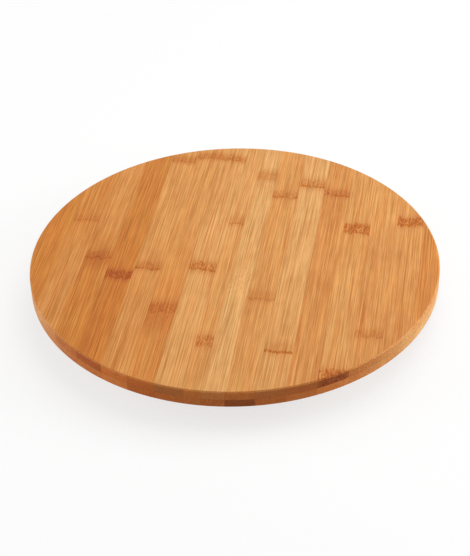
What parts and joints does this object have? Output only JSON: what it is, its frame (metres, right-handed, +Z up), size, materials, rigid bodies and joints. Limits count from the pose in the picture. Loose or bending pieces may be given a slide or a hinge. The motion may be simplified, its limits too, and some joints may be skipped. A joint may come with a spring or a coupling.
{
  "type": "lazy susan turntable",
  "caption": "Round bamboo lazy susan: a board of glued strips that turns freely on a pressed-steel ball bearing over a smaller bamboo base on rubber feet.",
  "frame": {"origin": "on the table plane, under the turning axis, at the middle of the feet", "axes": "+Z up along the turning axis, the board's strips run along Y"},
  "size_m": [0.35, 0.35, 0.0366],
  "materials": {
    "bamboo_face": "oiled bamboo, satin",
    "bamboo_back": "oiled bamboo, satin",
    "bamboo_base": "oiled bamboo, satin",
    "foot_rubber": "matte black rubber",
    "galvanised_sheet": "galvanised sheet",
    "cage_nylon": "moulded natural nylon",
    "ball_steel": "polished bearing steel",
    "screw_zinc": "zinc plated"
  },
  "bodies": {
    "base": {"base_strip_1": "bamboo_base", "base_strip_2": "bamboo_base", "base_strip_3": "bamboo_base", "base_strip_4": "bamboo_base", "base_strip_5": "bamboo_base", "base_strip_6": "bamboo_base", "base_strip_7": "bamboo_base", "base_strip_8": "bamboo_base", "base_strip_9": "bamboo_base", "rubber_foot_1": "foot_rubber", "rubber_foot_2": "foot_rubber", "rubber_foot_3": "foot_rubber", "rubber_foot_4": "foot_rubber", "lower_plate": "galvanised_sheet", "lower_screws": "screw_zinc"},
    "turntable": {"face_strip_01": "bamboo_face", "face_strip_02": "bamboo_face", "face_strip_03": "bamboo_face", "face_strip_04": "bamboo_face", "face_strip_05": "bamboo_face", "face_strip_06": "bamboo_face", "face_strip_07": "bamboo_face", "face_strip_08": "bamboo_face", "face_strip_09": "bamboo_face", "face_strip_10": "bamboo_face", "face_strip_11": "bamboo_face", "face_strip_12": "bamboo_face", "face_strip_13": "bamboo_face", "face_strip_14": "bamboo_face", "face_strip_15": "bamboo_face", "face_strip_16": "bamboo_face", "back_strip_01": "bamboo_back", "back_strip_02": "bamboo_back", "back_strip_03": "bamboo_back", "back_strip_04": "bamboo_back", "back_strip_05": "bamboo_back", "back_strip_06": "bamboo_back", "back_strip_07": "bamboo_back", "back_strip_08": "bamboo_back", "back_strip_09": "bamboo_back", "back_strip_10": "bamboo_back", "back_strip_11": "bamboo_back", "back_strip_12": "bamboo_back", "back_strip_13": "bamboo_back", "back_strip_14": "bamboo_back", "back_strip_15": "bamboo_back", "back_strip_16": "bamboo_back", "upper_plate": "galvanised_sheet", "upper_screws": "screw_zinc"},
    "ball_ring": {"ball_cage": "cage_nylon", "bearing_balls": "ball_steel"}
  },
  "joints": [
    {"name": "turntable_spin", "type": "hinge", "parent": "base", "child": "turntable", "pos_m": [0, 0, 0.017], "axis": [0, 0, 1], "continuous": true},
    {"name": "ball_ring_spin", "type": "hinge", "parent": "base", "child": "ball_ring", "pos_m": [0, 0, 0.017], "axis": [0, 0, 1], "continuous": true}
  ],
  "couplings": [
    {"joint": "ball_ring_spin", "follows": "turntable_spin", "ratio": 0.5}
  ]
}
